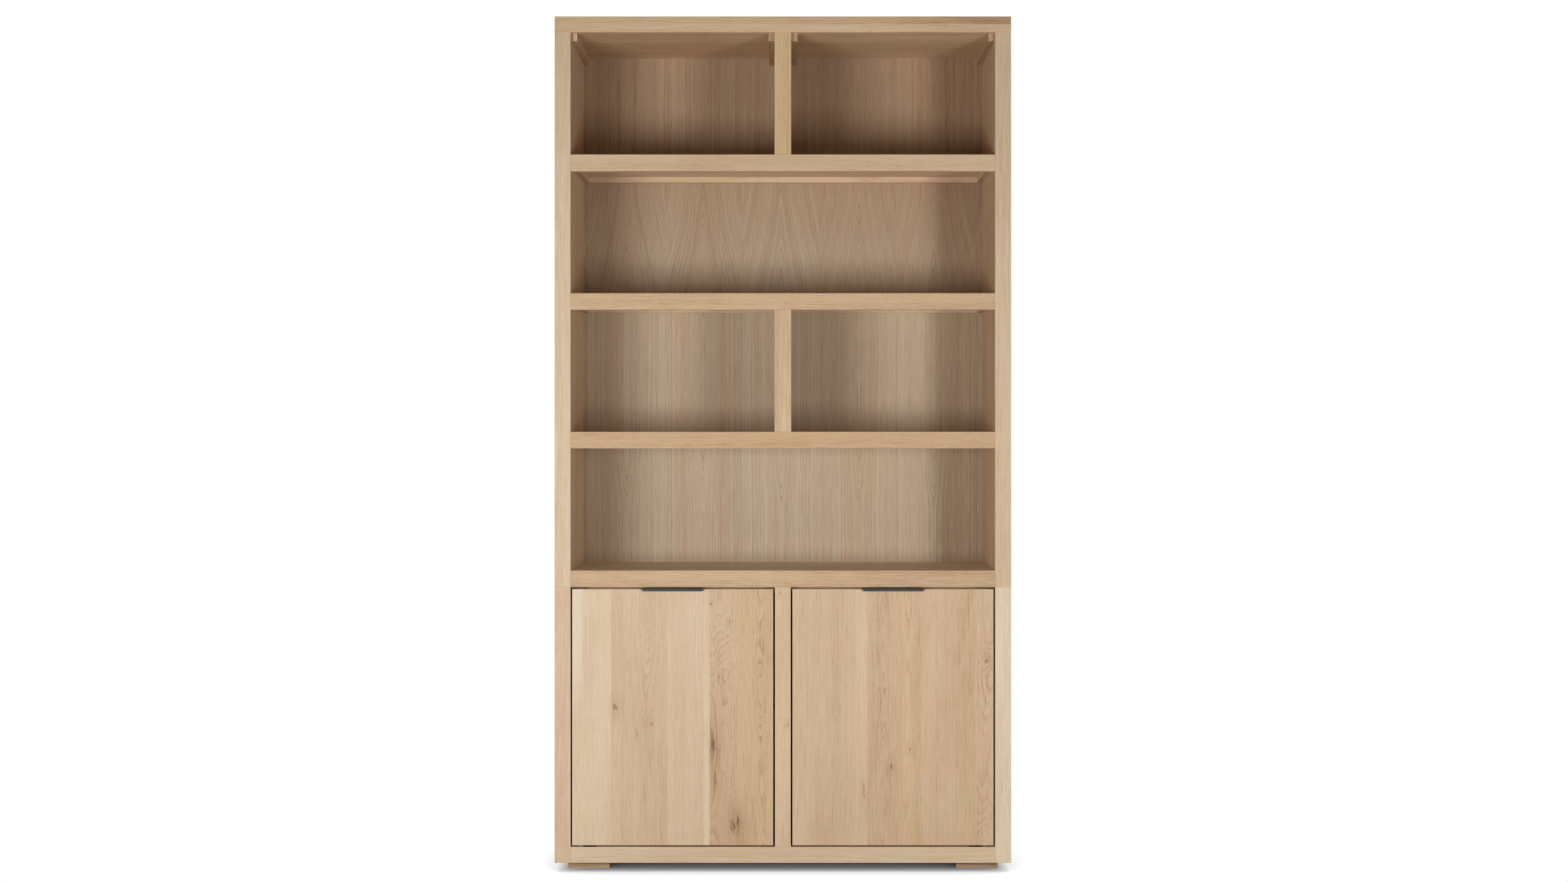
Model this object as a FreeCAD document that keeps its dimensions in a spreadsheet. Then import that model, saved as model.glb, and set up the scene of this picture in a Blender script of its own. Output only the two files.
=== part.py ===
import FreeCAD, Part
import os

# An oak bookcase in two stacked units: open bays above, a cupboard with two pivoting doors below.
# Sizes are in millimetres. X runs across the front, the front faces -Y, and Z goes up from the
# floor. The origin is on the floor, in the middle of the outline.

doc = FreeCAD.newDocument("bookcase")
Vector = FreeCAD.Vector

# Driving sizes, one cell each
DRIVING = {
    # Carcass of both units
    "width": 1200,
    "depth": 400,
    "side_thickness": 42,
    "back_thickness": 8,
    "rebate_width": 12,
    "panel_play": 0.5,
    "easing": 1.2,
    # Upper unit
    "bay_height": 320.5,
    "lip_height": 44,
    "lip_thickness": 22,
    "shelf_thickness": 15,
    "shelf_cleat": 15,
    "divider_thickness": 44,
    "core_thickness": 22,
    "cap_thickness": 20,
    "top_cleat_width": 16,
    "top_cleat_height": 20,
    "top_cleat_setback": 16,
    # Lower unit
    "door_opening": 683,
    "bottom_thickness": 42,
    "partition_thickness": 42,
    "lower_top_thickness": 18,
    "loose_shelf_thickness": 18,
    "loose_shelf_height": 330,
    "loose_shelf_play": 1,
    "loose_shelf_rear_gap": 5,
    "foot_width": 110,
    "foot_length": 60,
    "foot_height": 25,
    "foot_inset": 30,
    "foot_setback": 58,
    # Doors, their pulls and catches
    "door_thickness": 22,
    "door_gap": 4,
    "door_top_gap": 5,
    "pull_length": 160,
    "pull_thickness": 2,
    "pull_reach": 10,
    "pull_drop": 7.5,
    "pull_seat": 18,
    "pull_corner": 4,
    "pull_screw_spacing": 96,
    "catch_inset": 60,
    "catch_length": 46,
    "catch_height": 12,
    "catch_seat": 16,
    "strike_length": 40,
    "strike_thickness": 1.5,
    "prong_radius": 1.5,
    "prong_length": 10,
    # Door pivots
    "pivot_inset": 22,
    "swing_room": 4,
    "pin_radius": 4,
    "pin_length": 24,
    "running_gap": 0.05,
    "bush_radius": 6,
    "bush_length": 22,
    "washer_radius": 9,
    "washer_gap": 0.3,
    "plate_width": 18,
    "plate_thickness": 2.5,
    "plate_anchor": 32,
    "plate_tail": 42,
    # Fasteners
    "fit_gap": 0.1,
    "dowel_radius": 4,
    "dowel_length": 36,
    "dowel_margin": 60,
    "locating_margin": 130,
    "screw_shank": 1.75,
    "screw_head": 3.5,
    "screw_head_height": 2.2,
    "panel_screw_length": 20,
    "panel_screw_margin": 60,
    "cleat_screw_length": 35,
    "cleat_screw_margin": 40,
    "hardware_screw_length": 25,
    "foot_recess": 6,
    "foot_screw_spacing": 50,
    "shelf_pin_radius": 2.5,
    "shelf_pin_length": 16,
    "shelf_pin_depth": 9,
    "shelf_pin_margin": 50,
    "shelf_pin_pitch": 64,
}
size = doc.addObject("Spreadsheet::Sheet", "size")
for row, (word, value) in enumerate(DRIVING.items(), start=1):
    size.set(f"A{row}", str(value))
    size.setAlias(f"A{row}", word)
doc.recompute()

# Levels and lines that follow from the driving sizes
FOLLOWING = {
    "front": "-(size.depth - size.pull_reach) / 2",
    "back": "front + size.depth",
    "panel_front": "back - size.back_thickness",
    "carcass_depth": "size.depth - size.back_thickness",
    "inner_half": "size.width / 2 - size.side_thickness",
    "inner_width": "2 * inner_half",
    "floor_level": "size.foot_height + size.bottom_thickness",
    "unit_level": "floor_level + size.door_opening",
    "upper_base_top": "unit_level + size.lip_height",
    "shelf_3_top": "upper_base_top + size.bay_height + size.lip_height",
    "shelf_2_top": "shelf_3_top + size.bay_height + size.lip_height",
    "shelf_1_top": "shelf_2_top + size.bay_height + size.lip_height",
    "top_level": "shelf_1_top + size.bay_height",
    "cap_level": "top_level + size.core_thickness",
    "upper_side_height": "top_level - unit_level",
    "lower_side_height": "unit_level - size.foot_height",
    "recess_width": "inner_width + 2 * size.rebate_width",
    "cupboard_width": "(inner_width - size.partition_thickness) / 2",
    "door_width": "cupboard_width - 2 * size.door_gap",
    "door_level": "floor_level + size.door_gap",
    "door_top": "unit_level - size.door_top_gap",
    "door_height": "door_top - door_level",
    "door_near": "size.partition_thickness / 2 + size.door_gap",
    "door_middle": "door_near + door_width / 2",
    "pivot_x": "inner_half - size.door_gap - size.pivot_inset",
    "pivot_y": "front + size.door_thickness / 2",
    "door_sweep": "size.door_thickness / 2 + sqrt(size.pivot_inset ^ 2 + (size.door_thickness / 2) ^ 2)",
    "set_back": "front + door_sweep + size.swing_room",
    "lower_top_under": "unit_level - size.lower_top_thickness",
    "strike_back": "front + size.door_thickness + size.strike_thickness",
    "loose_shelf_front": "set_back + size.swing_room",
    "loose_shelf_back": "panel_front - size.loose_shelf_rear_gap",
    "shelf_pin_level": "floor_level + size.loose_shelf_height - size.shelf_pin_radius",
}
place = doc.addObject("App::VarSet", "place")
for word, expression in FOLLOWING.items():
    place.addProperty("App::PropertyFloat", word)
    place.setExpression(word, expression)
doc.recompute()

SIDES = {"left": -1, "right": 1}
SHELVES = ("shelf_1", "shelf_2", "shelf_3", "upper_base")
UP = Vector(0, 0, 1)
DOWN = Vector(0, 0, -1)
FORWARD = Vector(0, -1, 0)
SIDEWAYS = Vector(1, 0, 0)

blanks = {}
holes = {}


def bind(item, sizes, at):
    """Ties an item's sizes and its corner or centre to expressions."""
    for name, expression in sizes.items():
        item.setExpression(name, expression)
    for axis, expression in zip("xyz", at):
        item.setExpression(f"Placement.Base.{axis}", expression)
    return item


def board(name, length, width, height, at):
    """A rectangular board with its lowest corner at the given place."""
    item = doc.addObject("Part::Box", name)
    return bind(item, {"Length": length, "Width": width, "Height": height}, at)


def rod(name, radius, height, at):
    """An upright cylinder with the middle of its lower end at the given place."""
    item = doc.addObject("Part::Cylinder", name)
    return bind(item, {"Radius": radius, "Height": height}, at)


def combined(kind, name, base, tool):
    """A cut or a fuse of two items."""
    item = doc.addObject(f"Part::{kind}", name)
    item.Base = base
    item.Tool = tool
    return item


def group(name, items):
    """Separate solids that share one node."""
    item = doc.addObject("Part::Compound", name)
    item.Links = items
    return item


def eased(item, wanted, radius):
    """Rounds the edges whose middle point and direction the test accepts."""
    doc.recompute()
    box = item.Shape.BoundBox
    numbers = []
    for number, edge in enumerate(item.Shape.Edges, start=1):
        middle = edge.CenterOfMass
        direction = edge.Vertexes[-1].Point.sub(edge.Vertexes[0].Point).normalize()
        if wanted(middle, direction, box):
            numbers.append(number)
    rounded = doc.addObject("Part::Fillet", item.Name + "_eased")
    rounded.Base = item
    rounded.Edges = [(number, radius, radius) for number in numbers]
    return rounded


def near(a, b):
    return abs(a - b) < 1e-6


def front_rim(middle, direction, box):
    return near(middle.y, box.YMin)


def uprights(middle, direction, box):
    return near(abs(direction.z), 1)


def front_uprights(middle, direction, box):
    return front_rim(middle, direction, box) and uprights(middle, direction, box)


def front_levels(middle, direction, box):
    return front_rim(middle, direction, box) and near(abs(direction.x), 1)


def all_edges(middle, direction, box):
    return True


def node(name, blank):
    """Keeps a finished blank under its node's name, ready for its holes."""
    blanks[name] = blank
    holes[name] = []


def span(side, near_edge, length):
    """The lowest X of a piece that starts a distance from the middle plane on one side."""
    return f"{near_edge}" if side == "right" else f"-({near_edge}) - ({length})"


# Upper sides: full-depth boards with a rebate for the back panel
upper_recess = board("upper_back_recess", "place.recess_width", "size.back_thickness",
                     "place.upper_side_height + size.rebate_width",
                     ("-place.inner_half - size.rebate_width", "place.panel_front", "place.unit_level"))
for side in SIDES:
    blank = board(f"upper_{side}_board", "size.side_thickness", "size.depth", "place.upper_side_height",
                  (span(side, "place.inner_half", "size.side_thickness"), "place.front", "place.unit_level"))
    blank = eased(blank, front_uprights, size.easing)
    node(f"upper_{side}_side", combined("Cut", f"upper_{side}_rebated", blank, upper_recess))

# Top: a core board over the sides, with a cap board laminated on it
core = board("top_core_blank", "size.width", "size.depth", "size.core_thickness",
             ("-size.width / 2", "place.front", "place.top_level"))
core = eased(core, front_uprights, size.easing)
node("top_core_board", combined("Cut", "top_core_rebated", core, upper_recess))
cap = board("top_cap_blank", "size.width", "size.depth", "size.cap_thickness",
            ("-size.width / 2", "place.front", "place.cap_level"))


def cap_rim(middle, direction, box):
    return front_uprights(middle, direction, box) or near(middle.z, box.ZMax)


node("top_cap_board", eased(cap, cap_rim, size.easing))

# Shelves and base of the upper unit: a thin panel behind a thick front lip, on cleats
lip_blanks = {}
for shelf in SHELVES:
    top = f"place.{shelf}_top"
    cleat_level = f"{top} - size.shelf_thickness - size.shelf_cleat"
    lip_back = "place.front + size.lip_thickness"
    lip = board(f"{shelf}_lip_blank", "place.inner_width", "size.lip_thickness", "size.lip_height",
                ("-place.inner_half", "place.front", f"{top} - size.lip_height"))
    lip_blanks[shelf] = lip
    node(f"{shelf}_lip", eased(lip, front_levels, size.easing))
    panel = board(f"{shelf}_panel_blank", "place.inner_width", "place.carcass_depth - size.lip_thickness",
                  "size.shelf_thickness", ("-place.inner_half", lip_back, f"{top} - size.shelf_thickness"))
    node(f"{shelf}_panel", panel)
    cleat = board(f"{shelf}_back_cleat_blank", "place.inner_width", "size.shelf_cleat", "size.shelf_cleat",
                  ("-place.inner_half", "place.panel_front - size.shelf_cleat", cleat_level))
    node(f"{shelf}_back_cleat", cleat)
    pair = []
    for side in SIDES:
        x = span(side, "place.inner_half - size.shelf_cleat", "size.shelf_cleat")
        pair.append(board(f"{shelf}_{side}_cleat", "size.shelf_cleat",
                          "place.carcass_depth - size.lip_thickness - size.shelf_cleat", "size.shelf_cleat",
                          (x, lip_back, cleat_level)))
    node(f"{shelf}_side_cleats", group(f"{shelf}_cleat_pair", pair))

# Dividers: one under the top, one notched round the lip and the back cleat of the second shelf
divider = board("top_row_divider_blank", "size.divider_thickness", "place.carcass_depth", "size.bay_height",
                ("-size.divider_thickness / 2", "place.front", "place.shelf_1_top"))
node("top_row_divider", eased(divider, front_uprights, size.easing))
divider = board("third_row_divider_blank", "size.divider_thickness", "place.carcass_depth",
                "size.bay_height + size.lip_height - size.shelf_thickness",
                ("-size.divider_thickness / 2", "place.front", "place.shelf_3_top"))
divider = eased(divider, front_uprights, size.easing)
notched = combined("Cut", "third_row_divider_lip_notch", divider, lip_blanks["shelf_2"])
notched = combined("Cut", "third_row_divider_cleat_notch", notched, blanks["shelf_2_back_cleat"])
node("third_row_divider", notched)

# Cleats under the top: on the sides and on both faces of the divider
TOP_CLEAT_EDGES = {"side": "place.inner_half - size.top_cleat_width", "divider": "size.divider_thickness / 2"}
for carrier in TOP_CLEAT_EDGES:
    pair = []
    for side in SIDES:
        edge = TOP_CLEAT_EDGES[carrier]
        pair.append(board(f"top_row_{side}_{carrier}_cleat", "size.top_cleat_width",
                          "place.carcass_depth - size.top_cleat_setback", "size.top_cleat_height",
                          (span(side, edge, "size.top_cleat_width"), "place.front + size.top_cleat_setback",
                           "place.top_level - size.top_cleat_height")))
    node(f"top_row_{carrier}_cleats", group(f"top_row_{carrier}_cleat_pair", pair))

# Upper back panel: let into the sides and the top
node("upper_back_panel", board(
    "upper_back_panel_blank", "place.recess_width - 2 * size.panel_play", "size.back_thickness",
    "place.upper_side_height + size.rebate_width - size.panel_play",
    ("size.panel_play - place.inner_half - size.rebate_width", "place.panel_front", "place.unit_level")))

# Lower sides: they run down past the bottom board, and carry the top pivot plates in their ends
lower_recess = board("lower_back_recess", "place.recess_width", "size.back_thickness",
                     "place.lower_side_height",
                     ("-place.inner_half - size.rebate_width", "place.panel_front", "size.foot_height"))
top_plates = {}
for side in SIDES:
    near_edge = "place.pivot_x - size.plate_width / 2"
    length = "place.inner_half + size.plate_anchor - place.pivot_x + size.plate_width / 2"
    top_plates[side] = board(f"{side}_top_plate", length, "size.plate_width", "size.plate_thickness",
                             (span(side, near_edge, length), "place.pivot_y - size.plate_width / 2",
                              "place.unit_level - size.plate_thickness"))
    blank = board(f"lower_{side}_board", "size.side_thickness", "size.depth", "place.lower_side_height",
                  (span(side, "place.inner_half", "size.side_thickness"), "place.front", "size.foot_height"))
    blank = eased(blank, front_rim, size.easing)
    blank = combined("Cut", f"lower_{side}_rebated", blank, lower_recess)
    node(f"lower_{side}_side", combined("Cut", f"lower_{side}_plate_seat", blank, top_plates[side]))
node("top_pivot_plates", group("top_plate_pair", list(top_plates.values())))

# Bottom board: between the sides, with the bottom pivot plates let in flush
bottom = board("bottom_blank", "place.inner_width", "place.carcass_depth", "size.bottom_thickness",
               ("-place.inner_half", "place.front", "size.foot_height"))
bottom = eased(bottom, front_levels, size.easing)
bottom_plates = []
for side in SIDES:
    length = "size.plate_tail + size.plate_width / 2"
    plate = board(f"{side}_bottom_plate", length, "size.plate_width", "size.plate_thickness",
                  (span(side, "place.pivot_x - size.plate_tail", length),
                   "place.pivot_y - size.plate_width / 2", "place.floor_level - size.plate_thickness"))
    bottom_plates.append(plate)
    bottom = combined("Cut", f"bottom_{side}_plate_seat", bottom, plate)
node("bottom_board", bottom)
node("bottom_pivot_plates", group("bottom_plate_pair", bottom_plates))

# Centre partition, and the cupboards' top panels, which stay clear of the doors' swing
partition = board("partition_blank", "size.partition_thickness", "place.carcass_depth", "size.door_opening",
                  ("-size.partition_thickness / 2", "place.front", "place.floor_level"))
node("centre_partition", eased(partition, front_uprights, size.easing))
for side in SIDES:
    x = span(side, "size.partition_thickness / 2", "place.cupboard_width")
    node(f"lower_{side}_top", board(f"lower_{side}_top_blank", "place.cupboard_width",
                                    "place.panel_front - place.set_back", "size.lower_top_thickness",
                                    (x, "place.set_back", "place.lower_top_under")))

# Lower back panel
node("lower_back_panel", board(
    "lower_back_panel_blank", "place.recess_width - 2 * size.panel_play",
    "size.back_thickness", "place.lower_side_height",
    ("size.panel_play - place.inner_half - size.rebate_width", "place.panel_front", "size.foot_height")))

# Loose shelves in the cupboards, which lie on pins
for side in SIDES:
    length = "place.cupboard_width - 2 * size.loose_shelf_play"
    shelf = board(f"{side}_loose_shelf_blank", length, "place.loose_shelf_back - place.loose_shelf_front",
                  "size.loose_shelf_thickness",
                  (span(side, "size.partition_thickness / 2 + size.loose_shelf_play", length),
                   "place.loose_shelf_front", "place.floor_level + size.loose_shelf_height"))
    node(f"{side}_loose_shelf", eased(shelf, front_levels, size.easing))

# Feet: low blocks under the bottom board
FOOT_ROWS = {"front": "place.front + size.foot_setback",
             "rear": "place.back - size.foot_setback - size.foot_length"}
for row, y in FOOT_ROWS.items():
    for side in SIDES:
        x = span(side, "size.width / 2 - size.foot_inset - size.foot_width", "size.foot_width")
        foot = board(f"{row}_{side}_foot_blank", "size.foot_width", "size.foot_length", "size.foot_height",
                     (x, y, "0"))
        node(f"{row}_{side}_foot", eased(foot, uprights, size.easing))

# Doors with their bushes, pulls and strike plates
for side in SIDES:
    sign = SIDES[side]
    pivot = (f"{sign} * place.pivot_x", "place.pivot_y")
    door = board(f"{side}_door_blank", "place.door_width", "size.door_thickness", "place.door_height",
                 (span(side, "place.door_near", "place.door_width"), "place.front", "place.door_level"))
    door = eased(door, all_edges, size.easing)
    bushes = []
    for end, level in (("lower", "place.door_level"), ("upper", "place.door_top - size.bush_length")):
        at = (*pivot, level)
        seat = rod(f"{side}_{end}_bush_seat", "size.bush_radius + size.fit_gap", "size.bush_length", at)
        door = combined("Cut", f"{side}_door_{end}_seat", door, seat)
        outer = rod(f"{side}_{end}_bush_outside", "size.bush_radius", "size.bush_length", at)
        bore = rod(f"{side}_{end}_bush_bore", "size.pin_radius + size.running_gap", "size.bush_length", at)
        bushes.append(combined("Cut", f"{side}_{end}_bush", outer, bore))
    node(f"{side}_door_bushes", group(f"{side}_bush_pair", bushes))

    x = span(side, "place.door_middle - size.pull_length / 2", "size.pull_length")
    pull_front = "place.front - size.pull_reach"
    flange = board(f"{side}_pull_flange", "size.pull_length", "size.pull_reach + size.pull_seat",
                   "size.pull_thickness", (x, pull_front, "place.door_top"))
    lip = board(f"{side}_pull_lip", "size.pull_length", "size.pull_thickness", "size.pull_drop",
                (x, pull_front, "place.door_top + size.pull_thickness - size.pull_drop"))

    def lip_corners(middle, direction, box):
        return near(abs(direction.y), 1) and near(middle.z, box.ZMin)

    lip = eased(lip, lip_corners, size.pull_corner)
    pull = combined("Fuse", f"{side}_pull_bent", flange, lip)
    pull.Refine = True

    def outer_bend(middle, direction, box):
        return front_levels(middle, direction, box) and near(middle.z, box.ZMax)

    node(f"{side}_pull", eased(pull, outer_bend, size.pull_thickness))

    strike_middle = "place.door_near + size.catch_inset"
    strike_level = "place.lower_top_under - size.catch_height"
    plate = board(f"{side}_strike_face", "size.strike_length", "size.strike_thickness", "size.catch_height",
                  (span(side, f"{strike_middle} - size.strike_length / 2", "size.strike_length"),
                   "place.front + size.door_thickness", strike_level))
    at = (f"{sign} * ({strike_middle})", "place.strike_back", f"{strike_level} + size.catch_height / 2")
    prong = rod(f"{side}_strike_prong", "size.prong_radius", "size.prong_length + size.strike_thickness", at)
    prong.Placement.Rotation = FreeCAD.Rotation(UP, FORWARD)
    node(f"{side}_strike_plate", combined("Fuse", f"{side}_strike_and_prong", plate, prong))
    seat = rod(f"{side}_prong_hole", "size.prong_radius + size.fit_gap",
               "size.prong_length + size.strike_thickness + size.fit_gap", at)
    seat.Placement.Rotation = FreeCAD.Rotation(UP, FORWARD)
    node(f"{side}_door", combined("Cut", f"{side}_door_prong_seat", door, seat))

# Pivot pins in the plates, and the washers that carry the doors
pins = []
washers = []
for side, sign in SIDES.items():
    pivot = (f"{sign} * place.pivot_x", "place.pivot_y")
    for end, level, plates in (("top", "place.unit_level - size.pin_length", "top_pivot_plates"),
                               ("bottom", "place.floor_level - size.plate_thickness", "bottom_pivot_plates")):
        at = (*pivot, level)
        pins.append(rod(f"{side}_{end}_pin", "size.pin_radius", "size.pin_length", at))
        seat = rod(f"{side}_{end}_pin_seat", "size.pin_radius + size.running_gap", "size.pin_length", at)
        doc.recompute()
        holes[plates].append(seat.Shape)
    at = (*pivot, "place.floor_level")
    outer = rod(f"{side}_washer_outside", "size.washer_radius", "size.door_gap", at)
    bore = rod(f"{side}_washer_bore", "size.pin_radius + size.washer_gap", "size.door_gap", at)
    washers.append(combined("Cut", f"{side}_washer", outer, bore))
node("pivot_pins", group("pivot_pin_set", pins))
node("thrust_washers", group("thrust_washer_pair", washers))

# Magnetic catches under the cupboards' top panels
catches = []
for side in SIDES:
    middle = "place.door_near + size.catch_inset"
    catch = board(f"{side}_catch_blank", "size.catch_length",
                  "place.set_back + size.catch_seat - place.strike_back", "size.catch_height",
                  (span(side, f"{middle} - size.catch_length / 2", "size.catch_length"), "place.strike_back",
                   "place.lower_top_under - size.catch_height"))
    catches.append(eased(catch, uprights, size.easing))
node("magnetic_catches", group("catch_pair", catches))

# Forms of the fasteners, and of their holes, upright at the origin
ORIGIN = ("0", "0", "0")


def screw_form(name, length, clearance):
    """A countersunk screw with its head at the origin and its tip upwards."""
    head = doc.addObject("Part::Cone", f"{name}_head")
    bind(head, {"Radius1": f"size.screw_head + {clearance}", "Radius2": f"size.screw_shank + {clearance}",
                "Height": "size.screw_head_height"}, ORIGIN)
    shank = rod(f"{name}_shank", f"size.screw_shank + {clearance}", f"{length} + {clearance}", ORIGIN)
    return combined("Fuse", name, head, shank)


def forms(name, length):
    return (screw_form(f"{name}_form", length, "0"), screw_form(f"{name}_hole_form", length, "size.fit_gap"))


panel_screw = forms("panel_screw", "size.panel_screw_length")
cleat_screw = forms("cleat_screw", "size.cleat_screw_length")
hardware_screw = forms("hardware_screw", "size.hardware_screw_length")
dowel = (rod("dowel_form", "size.dowel_radius", "size.dowel_length", ("0", "0", "-size.dowel_length / 2")),
         rod("dowel_hole_form", "size.dowel_radius + size.fit_gap", "size.dowel_length + 2 * size.fit_gap",
             ("0", "0", "-size.dowel_length / 2 - size.fit_gap")))
shelf_pin = (rod("shelf_pin_form", "size.shelf_pin_radius", "size.shelf_pin_length",
                 ("0", "0", "size.shelf_pin_depth - size.shelf_pin_length")),
             rod("shelf_pin_hole_form", "size.shelf_pin_radius + size.fit_gap",
                 "size.shelf_pin_depth + size.fit_gap", ORIGIN))
foot_counterbore = rod("foot_counterbore_form", "size.screw_head + size.fit_gap", "size.foot_recess", ORIGIN)
doc.recompute()

fasteners = {}


def placed(form, point, direction):
    """A copy of a form at a point, with its upright axis turned to a direction."""
    copy = form.Shape.copy()
    copy.Placement = FreeCAD.Placement(point, FreeCAD.Rotation(UP, direction)).multiply(copy.Placement)
    return copy


def fasten(name, kind, point, direction, through):
    """Sets one fastener and makes its hole in every piece that it goes through."""
    form, hole = kind
    fasteners.setdefault(name, []).append(placed(form, point, direction))
    for piece in through:
        holes[piece].append(placed(hole, point, direction))


def spread(low, high, count):
    """Evenly spaced places from one end of a stretch to the other."""
    return [low + (high - low) * step / (count - 1) for step in range(count)]


# How many fasteners a row has, and where pairs of them sit, as shares of a length
JOINT_DOWELS = 3
SHELF_CLEAT_SCREWS = 3
TOP_CLEAT_SCREWS = 4
UPPER_SIDE_SCREWS = 7
LOWER_SIDE_SCREWS = 4
CROSS_ROW_SCREWS = 4
PARTITION_SCREWS = 3
HALVES = (-0.5, 0.5)
LIP_DOWEL_SHARES = (0.25, 0.75)
TOP_PLATE_SHARES = (0.3, 0.75)
BOTTOM_PLATE_SHARES = (0.45, 0.8)
CATCH_SHARES = (-0.3, 0.3)

front, back, panel_front = place.front, place.back, place.panel_front
joint_rows = spread(front + size.dowel_margin, panel_front - size.dowel_margin, JOINT_DOWELS)
joint_ends = (joint_rows[0], joint_rows[-1])
lip_line = front + size.lip_thickness / 2
cleat_line = panel_front - size.shelf_cleat / 2

# Dowels of the lips, top, bottom board, partition and cupboard tops, in both sides
for side, sign in SIDES.items():
    inner = sign * place.inner_half
    for shelf in SHELVES:
        top = getattr(place, f"{shelf}_top")
        for share in LIP_DOWEL_SHARES:
            point = Vector(inner, lip_line, top - share * size.lip_height)
            fasten("joint_dowels", dowel, point, SIDEWAYS, (f"upper_{side}_side", f"{shelf}_lip"))
    side_middle = inner + sign * size.side_thickness / 2
    for y in joint_rows:
        point = Vector(side_middle, y, place.top_level)
        fasten("joint_dowels", dowel, point, UP, (f"upper_{side}_side", "top_core_board"))
        point = Vector(inner, y, size.foot_height + size.bottom_thickness / 2)
        fasten("joint_dowels", dowel, point, SIDEWAYS, (f"lower_{side}_side", "bottom_board"))
    lower_top_middle = place.unit_level - size.lower_top_thickness / 2
    for y in (place.set_back + size.dowel_margin, joint_rows[-1]):
        point = Vector(inner, y, lower_top_middle)
        fasten("joint_dowels", dowel, point, SIDEWAYS, (f"lower_{side}_side", f"lower_{side}_top"))
        point = Vector(sign * size.partition_thickness / 2, y, lower_top_middle)
        fasten("joint_dowels", dowel, point, SIDEWAYS, ("centre_partition", f"lower_{side}_top"))
    for y in (front + size.locating_margin, panel_front - size.locating_margin):
        point = Vector(side_middle, y, place.unit_level)
        fasten("locating_dowels", dowel, point, UP, (f"lower_{side}_side", f"upper_{side}_side"))

# Dowels of the partition and the dividers
for y in joint_rows:
    fasten("joint_dowels", dowel, Vector(0, y, place.floor_level), UP, ("bottom_board", "centre_partition"))
for y in joint_ends:
    fasten("joint_dowels", dowel, Vector(0, y, place.top_level), UP, ("top_row_divider", "top_core_board"))
for divider, shelf in (("top_row_divider", "shelf_1"), ("third_row_divider", "shelf_3")):
    top = getattr(place, f"{shelf}_top")
    fasten("joint_dowels", dowel, Vector(0, lip_line, top), UP, (divider, f"{shelf}_lip"))
    fasten("joint_dowels", dowel, Vector(0, cleat_line, top), UP,
           (divider, f"{shelf}_panel", f"{shelf}_back_cleat"))

# Screws of the cleats: sideways into the sides under the shelves, upwards into the top
for side, sign in SIDES.items():
    outward = Vector(sign, 0, 0)
    cleat_rows = spread(front + size.lip_thickness + size.cleat_screw_margin,
                        panel_front - size.shelf_cleat - size.cleat_screw_margin, SHELF_CLEAT_SCREWS)
    for shelf in SHELVES:
        level = getattr(place, f"{shelf}_top") - size.shelf_thickness - size.shelf_cleat / 2
        for y in cleat_rows:
            point = Vector(sign * (place.inner_half - size.shelf_cleat), y, level)
            fasten("cleat_screws", cleat_screw, point, outward,
                   (f"{shelf}_side_cleats", f"upper_{side}_side"))
    cleat_rows = spread(front + size.top_cleat_setback + size.cleat_screw_margin,
                        panel_front - size.cleat_screw_margin, TOP_CLEAT_SCREWS)
    for carrier, x in (("side", place.inner_half - size.top_cleat_width / 2),
                       ("divider", size.divider_thickness / 2 + size.top_cleat_width / 2)):
        for y in cleat_rows:
            point = Vector(sign * x, y, place.top_level - size.top_cleat_height)
            fasten("cleat_screws", cleat_screw, point, UP, (f"top_row_{carrier}_cleats", "top_core_board"))

# Screws of the back panels, from behind
rebate_line = place.inner_half + size.rebate_width / 2
margin = size.panel_screw_margin
side_screw_line = place.inner_half - margin
for side, sign in SIDES.items():
    for z in spread(place.unit_level + margin, place.top_level - margin, UPPER_SIDE_SCREWS):
        point = Vector(sign * rebate_line, back, z)
        fasten("back_panel_screws", panel_screw, point, FORWARD, ("upper_back_panel", f"upper_{side}_side"))
    for z in spread(size.foot_height + margin, place.unit_level - margin, LOWER_SIDE_SCREWS):
        point = Vector(sign * rebate_line, back, z)
        fasten("back_panel_screws", panel_screw, point, FORWARD, ("lower_back_panel", f"lower_{side}_side"))
    for x in (place.door_near + margin, side_screw_line):
        point = Vector(sign * x, back, place.unit_level - size.lower_top_thickness / 2)
        fasten("back_panel_screws", panel_screw, point, FORWARD, ("lower_back_panel", f"lower_{side}_top"))
for x in spread(-side_screw_line, side_screw_line, CROSS_ROW_SCREWS):
    point = Vector(x, back, place.top_level + size.rebate_width / 2)
    fasten("back_panel_screws", panel_screw, point, FORWARD, ("upper_back_panel", "top_core_board"))
    point = Vector(x, back, size.foot_height + size.bottom_thickness / 2)
    fasten("back_panel_screws", panel_screw, point, FORWARD, ("lower_back_panel", "bottom_board"))
    for shelf in SHELVES:
        level = getattr(place, f"{shelf}_top") - size.shelf_thickness - size.shelf_cleat / 2
        point = Vector(x, back, level)
        fasten("back_panel_screws", panel_screw, point, FORWARD, ("upper_back_panel", f"{shelf}_back_cleat"))
for z in spread(place.floor_level + margin, place.unit_level - margin, PARTITION_SCREWS):
    point = Vector(0, back, z)
    fasten("back_panel_screws", panel_screw, point, FORWARD, ("lower_back_panel", "centre_partition"))

# Screws of the feet, with their heads sunk into the feet
foot_middle = size.width / 2 - size.foot_inset - size.foot_width / 2
for row, y in (("front", front + size.foot_setback + size.foot_length / 2),
               ("rear", back - size.foot_setback - size.foot_length / 2)):
    for side, sign in SIDES.items():
        for share in HALVES:
            x = sign * foot_middle + share * size.foot_screw_spacing
            point = Vector(x, y, size.foot_recess)
            fasten("foot_screws", cleat_screw, point, UP, (f"{row}_{side}_foot", "bottom_board"))
            holes[f"{row}_{side}_foot"].append(placed(foot_counterbore, Vector(x, y, 0), UP))

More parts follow.
